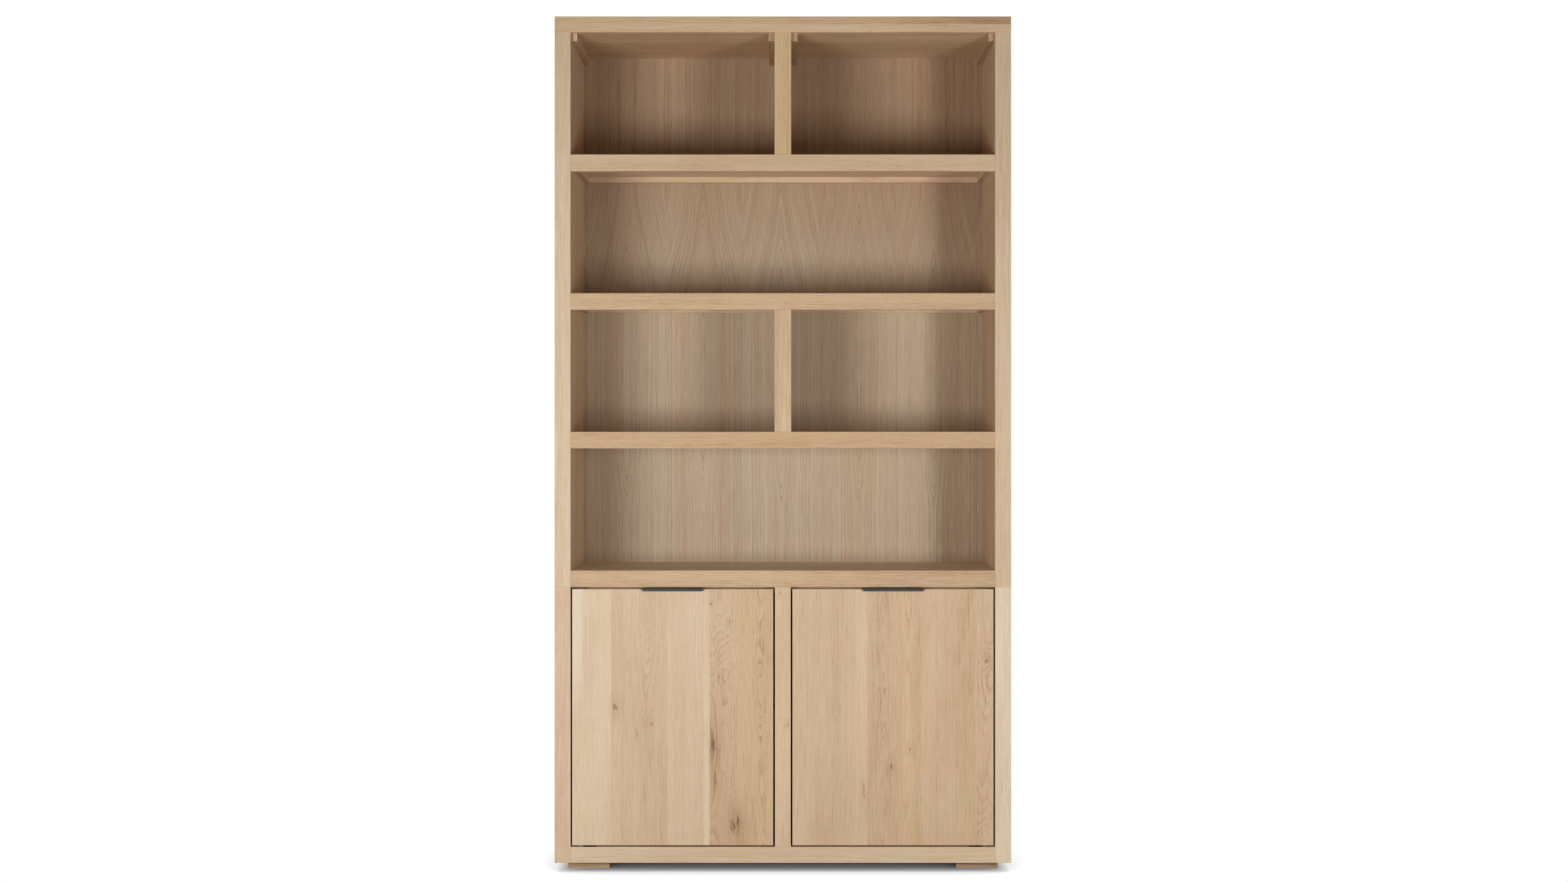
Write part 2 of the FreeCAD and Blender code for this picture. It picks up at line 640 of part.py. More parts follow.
# Screws of the pulls, pivot plates and catches
for side, sign in SIDES.items():
    for share in HALVES:
        point = Vector(sign * place.door_middle + share * size.pull_screw_spacing,
                       front + size.pull_seat / 2, place.door_top + size.pull_thickness)
        fasten(f"{side}_pull_screws", hardware_screw, point, DOWN, (f"{side}_pull", f"{side}_door"))
    for share in TOP_PLATE_SHARES:
        point = Vector(sign * (place.inner_half + share * size.plate_anchor), place.pivot_y, place.unit_level)
        fasten("hardware_screws", hardware_screw, point, DOWN, ("top_pivot_plates", f"lower_{side}_side"))
    for share in BOTTOM_PLATE_SHARES:
        point = Vector(sign * (place.pivot_x - share * size.plate_tail), place.pivot_y, place.floor_level)
        fasten("hardware_screws", hardware_screw, point, DOWN, ("bottom_pivot_plates", "bottom_board"))
    for share in CATCH_SHARES:
        x = sign * (place.door_near + size.catch_inset + share * size.catch_length)
        point = Vector(x, place.set_back + size.catch_seat / 2, place.lower_top_under - size.catch_height)
        fasten("hardware_screws", hardware_screw, point, UP, ("magnetic_catches", f"lower_{side}_top"))

# Pins of the loose shelves, with spare holes above and below them
for side, sign in SIDES.items():
    for carrier, x, direction in ((f"lower_{side}_side", place.inner_half, Vector(sign, 0, 0)),
                                  ("centre_partition", size.partition_thickness / 2, Vector(-sign, 0, 0))):
        for y in (place.loose_shelf_front + size.shelf_pin_margin,
                  place.loose_shelf_back - size.shelf_pin_margin):
            point = Vector(sign * x, y, place.shelf_pin_level)
            fasten("shelf_pins", shelf_pin, point, direction, (carrier,))
            for step in (-1, 1):
                spare = point + Vector(0, 0, step * size.shelf_pin_pitch)
                holes[carrier].append(placed(shelf_pin[1], spare, direction))

# Every piece with its holes, under its own label
pieces = {}
for name, blank in blanks.items():
    if holes[name]:
        drill = doc.addObject("Part::Feature", f"{name}_holes")
        drill.Shape = Part.makeCompound(holes[name])
        pieces[name] = combined("Cut", name, blank, drill)
    else:
        pieces[name] = blank
for name, solids in fasteners.items():
    pieces[name] = doc.addObject("Part::Feature", name)
    pieces[name].Shape = Part.makeCompound(solids)
for name, piece in pieces.items():
    piece.Label = name
doc.recompute()

failed = [item.Label for item in doc.Objects if {"Invalid", "Error"} & set(item.State)]
if failed:
    raise RuntimeError("failed: " + ", ".join(failed))
for name, piece in pieces.items():
    if piece.Shape.isNull() or not piece.Shape.isValid():
        raise RuntimeError(f"{name} is not a valid solid")
os.makedirs("parts", exist_ok=True)
for name, piece in pieces.items():
    piece.Shape.exportStep(f"parts/{name}.step")
print(len(pieces), "nodes")
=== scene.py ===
import math

import bpy
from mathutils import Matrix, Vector


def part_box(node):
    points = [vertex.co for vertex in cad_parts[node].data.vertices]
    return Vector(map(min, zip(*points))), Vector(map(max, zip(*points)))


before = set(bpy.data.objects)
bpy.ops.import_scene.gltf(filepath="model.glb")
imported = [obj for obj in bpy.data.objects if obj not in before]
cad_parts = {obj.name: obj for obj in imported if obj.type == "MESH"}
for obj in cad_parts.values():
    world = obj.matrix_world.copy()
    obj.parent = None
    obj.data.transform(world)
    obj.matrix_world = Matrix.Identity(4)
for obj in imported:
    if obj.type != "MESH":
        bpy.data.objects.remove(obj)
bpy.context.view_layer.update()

# Upper sides
# Boards of solid oak, glued up from upright staves, sanded and oiled. They stand on the lower
# case and carry the top and the shelves, so their narrow front edges run the height of the unit.
STAVE_WIDTH = 0.098
STAVE_SHIFT = 0.61
PITH_SPREAD = 0.13
PITH_DEPTH = 0.015
PITH_DEPTH_SPREAD = 0.055
TONE_SPREAD = 0.16
ROSE_SPREAD = 0.5
AMBER_SPREAD = 0.3
RING_WIDTH = 0.0031
RING_DRIFT = 0.016
RING_WANDER = 0.08
RING_UNEVENNESS = 3.0
RING_DARKNESS = 0.24
STREAK_DARKNESS = 0.22
FIBRE_DARKNESS = 0.40
CLOUD_DARKNESS = 0.50
HUE_CLOUD = 1.3
DASH_DARKNESS = 0.10
PORE_DARKNESS = 0.32
KNOT_BULGE = 0.014
KNOT_HALO = 0.30
OAK_ROUGHNESS = 0.50
OAK_GLOSS = 0.30
OAK_PORE_DEPTH = 0.0003
OAK_BUMP = 0.35
# Noise cells per metre, along the grain and across it
WANDER_CELLS = (1.5, 6.0)
DRIFT_CELLS = (6.0, 30.0)
CLOUD_CELLS = (2.0, 12.0)
HUE_CELLS = (4.0, 26.0)
FIBRE_CELLS = (15.0, 310.0)
DASH_CELLS = (24.0, 640.0)
PORE_CELLS = (55.0, 2200.0)
RAGGED_CELLS = (70.0, 150.0)
CRACK_CELLS = (160.0, 420.0)
# Along the grain, out from the pith and into the board
STREAK_CELLS = (1.2, 170.0, 40.0)
# Out from the pith
UNEVEN_CELLS = 40.0
OAK_STOPS = (
    (0.00, (0.735, 0.613, 0.458)),
    (0.28, (0.650, 0.492, 0.335)),
    (0.55, (0.555, 0.390, 0.247)),
    (0.80, (0.420, 0.271, 0.159)),
    (1.00, (0.215, 0.125, 0.072)),
)
ROSE_TINT = (1.0, 0.940, 0.920, 1.0)
AMBER_TINT = (1.0, 0.955, 0.800, 1.0)


class Shade:
    """An output socket of a material's nodes. Arithmetic on it adds Math nodes."""

    def __init__(self, tree, socket=None):
        self.tree = tree
        self.socket = socket

    def node(self, kind, inputs=None, settings=None, output=0):
        """Adds a node of a type, sets its settings, then its sockets, and gives one output."""
        made = self.tree.nodes.new(kind)
        for name, value in (settings or {}).items():
            if name == "stops":
                ramp = made.color_ramp
                while len(ramp.elements) < len(value):
                    ramp.elements.new(1.0)
                for element, (position, colour) in zip(ramp.elements, value):
                    element.position = position
                    element.color = (*colour, 1.0)
            else:
                setattr(made, name, value)
        for name, value in (inputs or {}).items():
            if isinstance(value, Shade):
                self.tree.links.new(value.socket, made.inputs[name])
            else:
                made.inputs[name].default_value = value
        return Shade(self.tree, made.outputs[output] if made.outputs else None)

    def math(self, operation, *values):
        return self.node("ShaderNodeMath", dict(enumerate(values)), {"operation": operation})

    def __add__(self, other):
        return self.math("ADD", self, other)

    def __radd__(self, other):
        return self.math("ADD", other, self)

    def __sub__(self, other):
        return self.math("SUBTRACT", self, other)

    def __rsub__(self, other):
        return self.math("SUBTRACT", other, self)

    def __mul__(self, other):
        return self.math("MULTIPLY", self, other)

    def __rmul__(self, other):
        return self.math("MULTIPLY", other, self)

    def __truediv__(self, other):
        return self.math("DIVIDE", self, other)

    def __pow__(self, other):
        return self.math("POWER", self, other)

    def above(self, edge):
        return self.math("GREATER_THAN", self, edge)

    def eased(self, low, high):
        """0 below low, 1 above high, and a smooth step between."""
        return self.node("ShaderNodeMapRange", {"Value": self, "From Min": low, "From Max": high},
                         {"interpolation_type": "SMOOTHSTEP"})

    def parts(self):
        """The three numbers of a vector."""
        return [self.node("ShaderNodeSeparateXYZ", {"Vector": self}, output=n) for n in range(3)]

    def noise(self, x, y, z, detail=2.0):
        """Smooth noise about 0, at a place counted in noise cells."""
        cell = self.node("ShaderNodeCombineXYZ", {"X": x, "Y": y, "Z": z})
        return self.node("ShaderNodeTexNoise", {"Vector": cell, "Scale": 1.0, "Detail": detail}) - 0.5

    def chance(self, number):
        """Three even random numbers from 0 to 1 that belong to one whole number."""
        return self.node("ShaderNodeTexWhiteNoise", {"W": number}, {"noise_dimensions": "1D"},
                         output="Color").parts()

    def blend(self, amount, first, second, way="MIX"):
        """One colour over another, by an amount."""
        return self.node("ShaderNodeMix", {0: amount, 6: first, 7: second},
                         {"data_type": "RGBA", "blend_type": way}, output=2)

    def surface(self, colour, roughness, height, depth, strength, **steady):
        """Ends the material with one Principled shader, bumped by a height."""
        bump = self.node("ShaderNodeBump", {"Height": height, "Distance": depth, "Strength": strength})
        shader = self.node("ShaderNodeBsdfPrincipled", {
            "Base Color": colour, "Roughness": roughness, "Normal": bump, **steady})
        self.node("ShaderNodeOutputMaterial", {"Surface": shader})


def new_finish(name):
    """An empty node material, a Shade to build on, and the three Object coordinates."""
    finish = bpy.data.materials.new(name)
    finish.use_nodes = True
    finish.node_tree.nodes.clear()
    shade = Shade(finish.node_tree)
    return finish, shade, shade.node("ShaderNodeTexCoord", output="Object").parts()


def dress(node, finish):
    """Gives a CAD node its finish."""
    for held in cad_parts[node].material_slots:
        held.material = finish


def oak(node, grain, across, seed, tone=0.40, rose=0.35, amber=0.0, wild=0.8, staves=(), knots=(),
        shift=None):
    """Solid oak for one node. Each stave is sawn from its own log, so the distance from the log's
    pith, bent by slow noise, is cut into year rings that start dark with pores and fade. Staves
    are rows of (left edge, tone, rose, amber, pith place, pith depth, wildness), and knots are
    rows of (along, across, half length, half width, darkness). Shift adds a tone by place."""
    finish, shade, places = new_finish(f"oak_{node}")
    axes = dict(zip("xyz", places))
    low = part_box(node)[0]
    along, over = axes.pop(grain), axes.pop(across)
    depth_axis, into = axes.popitem()
    into = into - low["xyz".index(depth_axis)]
    if staves:
        def by_stave(column):
            value = staves[0][column]
            for before, row in zip(staves, staves[1:]):
                value = value + (row[column] - before[column]) * over.above(row[0])
            return value
        stave_tone, stave_rose, stave_amber, pith, depth, wildness = map(by_stave, range(1, 7))
        stave = pith * 300.0
    else:
        stave = shade.math("FLOOR", over / STAVE_WIDTH + STAVE_SHIFT * seed)
        first, second, third = shade.chance(stave + 31.0 * seed)
        pith = (stave + (0.5 - STAVE_SHIFT * seed)) * STAVE_WIDTH + (first - 0.5) * PITH_SPREAD
        depth = PITH_DEPTH + PITH_DEPTH_SPREAD * second
        stave_tone = tone + TONE_SPREAD * (third - 0.5)
        stave_rose = rose + ROSE_SPREAD * (first - 0.5)
        stave_amber = amber + AMBER_SPREAD * (second - 0.5)
        wildness = wild * (0.6 + 0.8 * third)

    def grained(cells, ends=0.0, side=0.0, deep=0.0, detail=2.0):
        """Noise drawn out along the grain, and moved on along it, across it and into the board."""
        lengthwise, crosswise = cells
        return shade.noise(along * lengthwise + ends, over * crosswise + side,
                           into * crosswise + deep, detail)

    wander = grained(WANDER_CELLS, ends=3.1 * seed, side=stave)
    drift = grained(DRIFT_CELLS, side=stave, deep=seed) * wildness
    sideways = over - pith + RING_DRIFT * drift
    inward = into + depth + RING_WANDER * wander * wildness
    reach = shade.math("SQRT", sideways * sideways + inward * inward)
    dark = 0.0
    if knots:
        ragged = grained(RAGGED_CELLS, deep=seed, detail=3.0)
        broken = grained(CRACK_CELLS).eased(-0.12, 0.10)
    for knot_along, knot_over, half_length, half_width, darkness in knots:
        down = (along - knot_along) / half_length + 1.6 * ragged
        side = (over - knot_over) / half_width + 0.8 * drift - 2.2 * ragged
        near = down * down + side * side
        reach = reach + (KNOT_BULGE * darkness) * shade.math("EXPONENT", -0.09 * near)
        dark = dark + darkness * (1.0 - near.eased(0.0, 1.1)) * (0.35 + 0.65 * broken)
        dark = dark + KNOT_HALO * darkness * shade.math("EXPONENT", -0.12 * near)
    uneven = shade.noise(reach * UNEVEN_CELLS, seed, stave, 1.0)
    year = reach / RING_WIDTH + 0.8 * drift + RING_UNEVENNESS * uneven
    since = shade.math("FRACT", year)
    strong = shade.chance(shade.math("FLOOR", year) + seed)[0]
    fibre = grained(FIBRE_CELLS, deep=seed, detail=4.0)
    early = ((1.0 - since) ** 1.6 * since.eased(0.0, 0.12) * (0.25 + 0.75 * strong)
             * (0.45 + 0.55 * fibre.eased(-0.20, 0.16)))
    lengthwise, outward, inner = STREAK_CELLS
    streak = shade.noise(along * lengthwise + seed, reach * outward + stave, into * inner)
    dash = grained(DASH_CELLS, ends=seed).eased(0.03, 0.20)
    pores = grained(PORE_CELLS, detail=1.0).eased(0.05, 0.18) * early.eased(0.10, 0.50)
    cloud = grained(CLOUD_CELLS, ends=seed, side=stave)
    hue = grained(HUE_CELLS, ends=2.7 * seed, side=stave, deep=4.0, detail=3.0)
    figured = 0.8 + 0.35 * wildness
    depth_of_tone = (stave_tone + RING_DARKNESS * figured * (early - 0.16) + STREAK_DARKNESS * streak
                     + FIBRE_DARKNESS * fibre + CLOUD_DARKNESS * cloud + DASH_DARKNESS * (dash - 0.25)
                     + PORE_DARKNESS * pores + dark)
    if shift:
        depth_of_tone = depth_of_tone + shift(shade, *places)
    colour = shade.node("ShaderNodeValToRGB", {"Fac": depth_of_tone}, {"stops": OAK_STOPS})
    colour = shade.blend(stave_rose - HUE_CLOUD * hue, colour, ROSE_TINT, "MULTIPLY")
    colour = shade.blend(stave_amber + HUE_CLOUD * hue, colour, AMBER_TINT, "MULTIPLY")
    roughness = OAK_ROUGHNESS + 0.16 * pores + 0.10 * fibre
    height = 0.4 * fibre - 0.3 * early - 0.5 * dash - pores
    shade.surface(colour, roughness, height, OAK_PORE_DEPTH, OAK_BUMP,
                  **{"Specular IOR Level": OAK_GLOSS})
    dress(node, finish)


# Painted shade on the sides' faces towards the bays, deeper on the right side
LEFT_INNER_PAINTED_SHADE = 0.18
RIGHT_INNER_PAINTED_SHADE = 0.27
FRONT_STAVE_BACK = -0.150


def inner_painted_shade(darkness):
    """Behind the front stave, painted shade darkens the face towards the bays."""
    low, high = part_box("upper_right_side")

    def shift(shade, x, y, z):
        outward = shade.math("ABSOLUTE", x).eased(low.x, high.x)
        return darkness * y.eased(low.y, FRONT_STAVE_BACK) * (1.0 - outward)

    return shift


oak("upper_left_side", "z", "y", 1, tone=0.31, rose=0.35, shift=inner_painted_shade(LEFT_INNER_PAINTED_SHADE))
oak("upper_right_side", "z", "y", 2, tone=0.36, rose=0.35, amber=0.1,
    shift=inner_painted_shade(RIGHT_INNER_PAINTED_SHADE))

# Top
# A thin cap board over a thicker core board, both of oak with the grain across the case. The cap
# runs into brown heartwood at its right end, and painted shade makes the core's underside darker than
# its edge.
# Short cleats under the top tie it to the sides.
HEARTWOOD_START = 0.20
HEARTWOOD_FULL = 0.62
HEARTWOOD_DARKNESS = 0.31
# Painted shade on the core's underside
UNDERSIDE_PAINTED_SHADE = 0.20
UNDERSIDE_DEPTH = 0.002
CORE_PALENESS = 0.10
TOP_CLEAT_TONE = 0.66


def core_tone(shade, x, y, z):
    """Painted shade darkens the underside, and the board turns paler towards the right end."""
    low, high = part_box("top_core_board")
    underside = 1.0 - z.eased(low.z, low.z + UNDERSIDE_DEPTH)
    return UNDERSIDE_PAINTED_SHADE * underside - CORE_PALENESS * x.eased(low.x, high.x)


oak("top_cap_board", "x", "y", 3, tone=0.42, rose=0.25, amber=0.5,
    shift=lambda shade, x, y, z: HEARTWOOD_DARKNESS * x.eased(HEARTWOOD_START, HEARTWOOD_FULL))
oak("top_core_board", "x", "y", 4, tone=0.35, rose=0.5, amber=0.6, shift=core_tone)
oak("top_row_side_cleats", "y", "x", 5, tone=TOP_CLEAT_TONE, rose=0.9)
oak("top_row_divider_cleats", "y", "x", 6, tone=TOP_CLEAT_TONE, rose=0.9)

# Shelves of the upper unit
# Four shelves, each a thin panel behind a deep solid lip, with the grain across the case. Square
# cleats screwed to the sides and the back carry the panels. The lips are cut far from the pith,
# so their lines run straight and fine.
LIP_PITH_BELOW = 0.20
LIP_PITH_BEHIND = 0.14
LIP_WILDNESS = 0.45
PANEL_TONE = 0.06
CLEAT_TONE = 0.50

for row, (shelf, tone, rose, amber) in enumerate((
    ("shelf_1", 0.42, 0.35, 0.15),
    ("shelf_2", 0.52, 0.35, 0.4),
    ("shelf_3", 0.60, 0.6, 0.6),
    ("upper_base", 0.61, 0.6, 0.3),
)):
    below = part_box(f"{shelf}_lip")[0].z
    oak(f"{shelf}_lip", "x", "z", 10 + row,
        staves=((below, tone, rose, amber, below - LIP_PITH_BELOW, LIP_PITH_BEHIND, LIP_WILDNESS),))
    oak(f"{shelf}_panel", "x", "y", 20 + row, tone=PANEL_TONE, rose=0.5)
    oak(f"{shelf}_side_cleats", "y", "x", 30 + row, tone=CLEAT_TONE, rose=0.7)
    oak(f"{shelf}_back_cleat", "x", "z", 40 + row, tone=CLEAT_TONE, rose=0.7)

# Dividers
# Two upright oak boards that split the top row and the third row in half. They stand between
# the shelves, doweled top and bottom, with the grain upright.
oak("top_row_divider", "z", "y", 51, tone=0.50, rose=0.3, amber=1.0)
oak("third_row_divider", "z", "y", 52, tone=0.56, rose=0.4, amber=0.3)

# Upper back panel
# Board faced with oak veneer, screwed to the backs of the sides. The leaves are sliced one after
# another from one log and laid side by side, so each repeats its neighbour's upright figure.
LEAF_WIDTH = 0.216
LEAF_SHIFT = 0.53
LEAF_MISMATCH = 0.010
LEAF_TIP = 0.006
LEAF_RING = 0.0050
LEAF_BEND = 0.016
LEAF_RIPPLE = 0.003
WHOLE_LEAF = 10.0
LEAF_HEART = 0.022
VENEER_STOPS = (
    (0.00, (0.565, 0.478, 0.352)),
    (0.40, (0.448, 0.358, 0.249)),
    (0.75, (0.322, 0.228, 0.146)),
    (1.00, (0.200, 0.122, 0.071)),
)
# Painted shade tint, laid over the painted shade heights of a back panel
PAINTED_SHADE_TINT = (0.78, 0.67, 0.60, 1.0)
BLUSH_TINT = (1.0, 0.89, 0.83, 1.0)
# Painted shade at the right end of a back panel
END_PAINTED_SHADE = 0.20
VENEER_ROUGHNESS = 0.52
VENEER_BUMP = 0.3
# Noise cells per metre, up the leaf and across it
BEND_CELLS = (1.9, 9.0)
RIPPLE_CELLS = (6.0, 50.0)
VENEER_FIBRE_CELLS = (14.0, 340.0)
VENEER_PORE_CELLS = (26.0, 1400.0)
# Noise cells per metre, across the figure and up the leaf
STRIPE_CELLS = (230.0, 0.9)
BROAD_CELLS = (42.0, 0.5)
BLUSH_CELLS = (55.0, 0.4)


def veneer(node, seed, slopes, smoked, striped, shaded_end, tone=0.40):
    """Sliced oak veneer. On each leaf the figure follows the distance from the leaf's middle plus
    a climb, so its lines stand upright where the climb rests and lean together where it grows.
    Slopes are rows of (from height, to height, climb, reach), and the climb fades over its reach
    from the middle. Painted shade darkens the leaf over the painted shade heights, its stripes grow
    bolder over the striped ones, and painted shade darkens its right end over the shaded end's
    widths. The rear face is plain."""
    finish, shade, (x, y, z) = new_finish(f"veneer_{node}")
    leaf_place = x / LEAF_WIDTH + LEAF_SHIFT
    leaf = shade.math("FLOOR", leaf_place)
    first, second, third = shade.chance(leaf + 11.0 * seed)
    middle = (leaf_place - leaf - 0.5) * LEAF_WIDTH + LEAF_MISMATCH * (first - 0.5)
    fold = shade.math("SQRT", middle * middle + LEAF_TIP * LEAF_TIP)

    def drawn(cells, layer, detail=2.0, moved=0.0):
        """Noise drawn out up the leaf, on one of its layers."""
        upright, sideways = cells
        return shade.noise(z * upright + moved, x * sideways, layer, detail)

    def banded(cells, layer, detail=1.0):
        """Noise that follows the figure's lines, on one of its layers."""
        sideways, upright = cells
        return shade.noise(figure * sideways, z * upright, layer, detail)

    bend = drawn(BEND_CELLS, 2.0 * seed, moved=0.1 * leaf)
    ripple = drawn(RIPPLE_CELLS, 3.0 + seed)
    figure = fold + LEAF_BEND * bend + LEAF_RIPPLE * ripple
    front, rear = (corner.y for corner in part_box(node))
    face = 1.0 - y.above((front + rear) / 2)
    # Painted shade: the leaf darkens over these heights
    smoke = z.eased(*smoked) * face
    bold = z.eased(*striped) * face
    for low, high, climb, reach in slopes:
        figure = figure + climb * z.eased(low, high) * shade.math("EXPONENT", fold / -reach) * face
    year = figure / LEAF_RING + 2.5 * shade.noise(figure * 60.0, leaf, seed, 1.0)
    since = shade.math("FRACT", year)
    strong = shade.chance(shade.math("FLOOR", year) + 7.0 * leaf + 3.0 * seed)[0]
    early = (1.0 - since) ** 1.6 * (0.15 + 0.85 * strong)
    stripe = banded(STRIPE_CELLS, leaf + seed, detail=3.0)
    broad = banded(BROAD_CELLS, 5.0 + leaf + seed)
    blush = banded(BLUSH_CELLS, 9.0 + leaf + seed).eased(-0.14, 0.16)
    fibre = drawn(VENEER_FIBRE_CELLS, seed, detail=4.0)
    pores = drawn(VENEER_PORE_CELLS, seed, detail=1.0).eased(0.06, 0.22) * early.eased(0.15, 0.6)
    # The last term is painted shade at the right end
    tone_here = (tone + 0.08 * (third - 0.5) + 0.42 * (early - 0.22) + (0.44 + 0.44 * bold) * stripe
                 + (0.22 + 0.32 * bold) * broad + 0.65 * fibre + 0.2 * pores
                 + END_PAINTED_SHADE * x.eased(*shaded_end) * face)
    colour = shade.node("ShaderNodeValToRGB", {"Fac": tone_here}, {"stops": VENEER_STOPS})
    colour = shade.blend(0.15 + 0.70 * blush, colour, BLUSH_TINT, "MULTIPLY")
    colour = shade.blend(smoke, colour, PAINTED_SHADE_TINT, "MULTIPLY")
    roughness = VENEER_ROUGHNESS + 0.14 * pores + 0.1 * fibre
    height = 0.5 * fibre - 0.3 * early - pores
    shade.surface(colour, roughness, height, OAK_PORE_DEPTH, VENEER_BUMP,
                  **{"Specular IOR Level": OAK_GLOSS})
    dress(node, finish)


# Widths over which painted shade darkens the right end of each back panel
SHADED_END_PLACE = (0.40, 0.46)

veneer("upper_back_panel", 1, tone=0.34, smoked=(1.45, 1.98), striped=(1.80, 1.95), shaded_end=SHADED_END_PLACE,
       slopes=((0.92, 1.12, -0.036, LEAF_HEART), (1.46, 1.90, 0.075, WHOLE_LEAF)))

# Lower case
# Two solid oak sides, a middle partition whose edge is the stile between the doors, a bottom
# board and two tops. All are doweled, and the sides line up with the upper unit's sides. The
# right side's front stave is pale sapwood.
SAPWOOD_EDGE = 0.29
INSIDE_TONE = 0.42
STILE_KNOTS = ((0.387, 0.013, 0.007, 0.004, 0.5), (0.735, -0.008, 0.005, 0.003, 0.4))

oak("lower_left_side", "z", "y", 61, tone=0.35, rose=0.8)
oak("lower_right_side", "z", "y", 62, tone=0.36, rose=0.1, wild=0.4,
    shift=lambda shade, x, y, z: -SAPWOOD_EDGE * (1.0 - y.above(FRONT_STAVE_BACK)))
oak("centre_partition", "z", "x", 63, tone=0.39, rose=0.4, amber=0.2, knots=STILE_KNOTS)
oak("bottom_board", "x", "y", 64, tone=0.36, rose=0.25)
oak("lower_left_top", "x", "y", 65, tone=INSIDE_TONE)
oak("lower_right_top", "x", "y", 66, tone=INSIDE_TONE)
oak("left_loose_shelf", "x", "y", 67, tone=INSIDE_TONE)
oak("right_loose_shelf", "x", "y", 68, tone=INSIDE_TONE)

# Lower back panel
# The same veneered board as above, screwed to the back of the lower case. It keeps the case
# square, and shows only when a door is open.
veneer("lower_back_panel", 2, smoked=(0.5, 1.5), striped=(0.1, 0.7), shaded_end=SHADED_END_PLACE,
       slopes=((0.05, 0.35, -0.036, LEAF_HEART), (0.40, 0.72, 0.045, WHOLE_LEAF)))

# Doors
# Two doors glued from wide and narrow staves of solid oak. The staves differ in colour and cut,
# some keep a creamy strip of sapwood, and small knots sit among the arched grain.
LEFT_STAVES = (
    # Left edge, tone, rose, amber, pith place, pith depth, wildness
    (-0.560, 0.25, 0.00, 0.20, -0.640, 0.050, 0.3),
    (-0.451, 0.38, 0.55, 0.00, -0.357, 0.016, 1.0),
    (-0.303, 0.31, 0.50, 0.00, -0.100, 0.070, 0.5),
    (-0.192, 0.46, 0.50, 0.10, -0.168, 0.030, 1.7),
    (-0.121, 0.46, 0.00, 0.55, -0.060, 0.018, 1.5),
)
LEFT_KNOTS = (
    # Along, across, half length, half width, darkness
    (0.434, -0.441, 0.012, 0.006, 0.48),
    (0.334, -0.181, 0.016, 0.007, 0.48),
    (0.133, -0.118, 0.014, 0.005, 0.72),
    (0.390, -0.345, 0.007, 0.004, 0.40),
    (0.550, -0.406, 0.006, 0.003, 0.35),
    (0.513, -0.168, 0.006, 0.003, 0.40),
    (0.706, -0.190, 0.004, 0.003, 0.45),
    (0.659, -0.139, 0.004, 0.003, 0.40),
    (0.355, -0.186, 0.030, 0.006, 0.28),
    (0.245, -0.178, 0.028, 0.007, 0.26),
    (0.118, -0.130, 0.020, 0.008, 0.34),
    (0.420, -0.363, 0.055, 0.010, 0.16),
    (0.365, -0.385, 0.020, 0.004, 0.22),
    (0.173, -0.365, 0.090, 0.015, 0.11),
)
RIGHT_STAVES = (
    (0.020, 0.43, 0.50, 0.00, -0.030, 0.060, 0.6),
    (0.151, 0.42, 0.10, 0.20, 0.240, 0.070, 0.4),
    (0.222, 0.50, 0.45, 0.10, 0.262, 0.014, 1.3),
    (0.299, 0.54, 0.15, 0.42, 0.322, 0.020, 1.0),
    (0.364, 0.47, 0.65, 0.00, 0.500, 0.060, 0.5),
    (0.454, 0.53, 0.10, 0.38, 0.400, 0.050, 0.6),
    (0.510, 0.47, 0.40, 0.15, 0.535, 0.022, 1.6),
)
RIGHT_KNOTS = (
    (0.278, 0.285, 0.010, 0.005, 0.50),
    (0.556, 0.536, 0.008, 0.005, 0.50),
    (0.323, 0.335, 0.006, 0.004, 0.40),
    (0.215, 0.213, 0.024, 0.005, 0.38),
    (0.450, 0.530, 0.035, 0.008, 0.13),
)
SAPWOOD_PALENESS = 0.26
EDGE_SAPWOOD = (-0.538, -0.522)
EDGE_SAPWOOD_HEIGHTS = (0.40, 0.60)
INNER_SAPWOOD = (-0.215, -0.200)
INNER_SAPWOOD_HEIGHTS = (0.25, 0.60)
BROWN_FOOT = 0.09
BROWN_FOOT_LEFT = LEFT_STAVES[3][0]
BROWN_FOOT_HEIGHTS = (0.10, 0.50)


def left_sapwood(shade, x, y, z):
    """Pale strips along the left edge, fading downward, and along the third stave's right edge,
    and a browner foot on the two right staves."""
    right_staves = x.above(BROWN_FOOT_LEFT)
    edge = (1.0 - x.eased(*EDGE_SAPWOOD)) * z.eased(*EDGE_SAPWOOD_HEIGHTS)
    inner = x.eased(*INNER_SAPWOOD) * (1.0 - right_staves) * (1.0 - z.eased(*INNER_SAPWOOD_HEIGHTS))
    foot = right_staves * (1.0 - z.eased(*BROWN_FOOT_HEIGHTS))
    return BROWN_FOOT * foot - SAPWOOD_PALENESS * (edge + inner)


oak("left_door", "z", "x", 71, staves=LEFT_STAVES, knots=LEFT_KNOTS, shift=left_sapwood)
oak("right_door", "z", "x", 72, staves=RIGHT_STAVES, knots=RIGHT_KNOTS)

# Pulls
# Folded edge pulls of thin metal with a matt anthracite powder coat, screwed to the backs of the
# doors so that a rounded lip stands over the top edge.
COAT_DARK = (0.018, 0.017, 0.013, 1.0)
COAT_LIGHT = (0.044, 0.041, 0.032, 1.0)
COAT_ROUGHNESS = 0.46
COAT_GLOSS = 0.35
PEEL_CELLS = 900.0
PEEL_DEPTH = 0.0002
PEEL_BUMP = 0.25


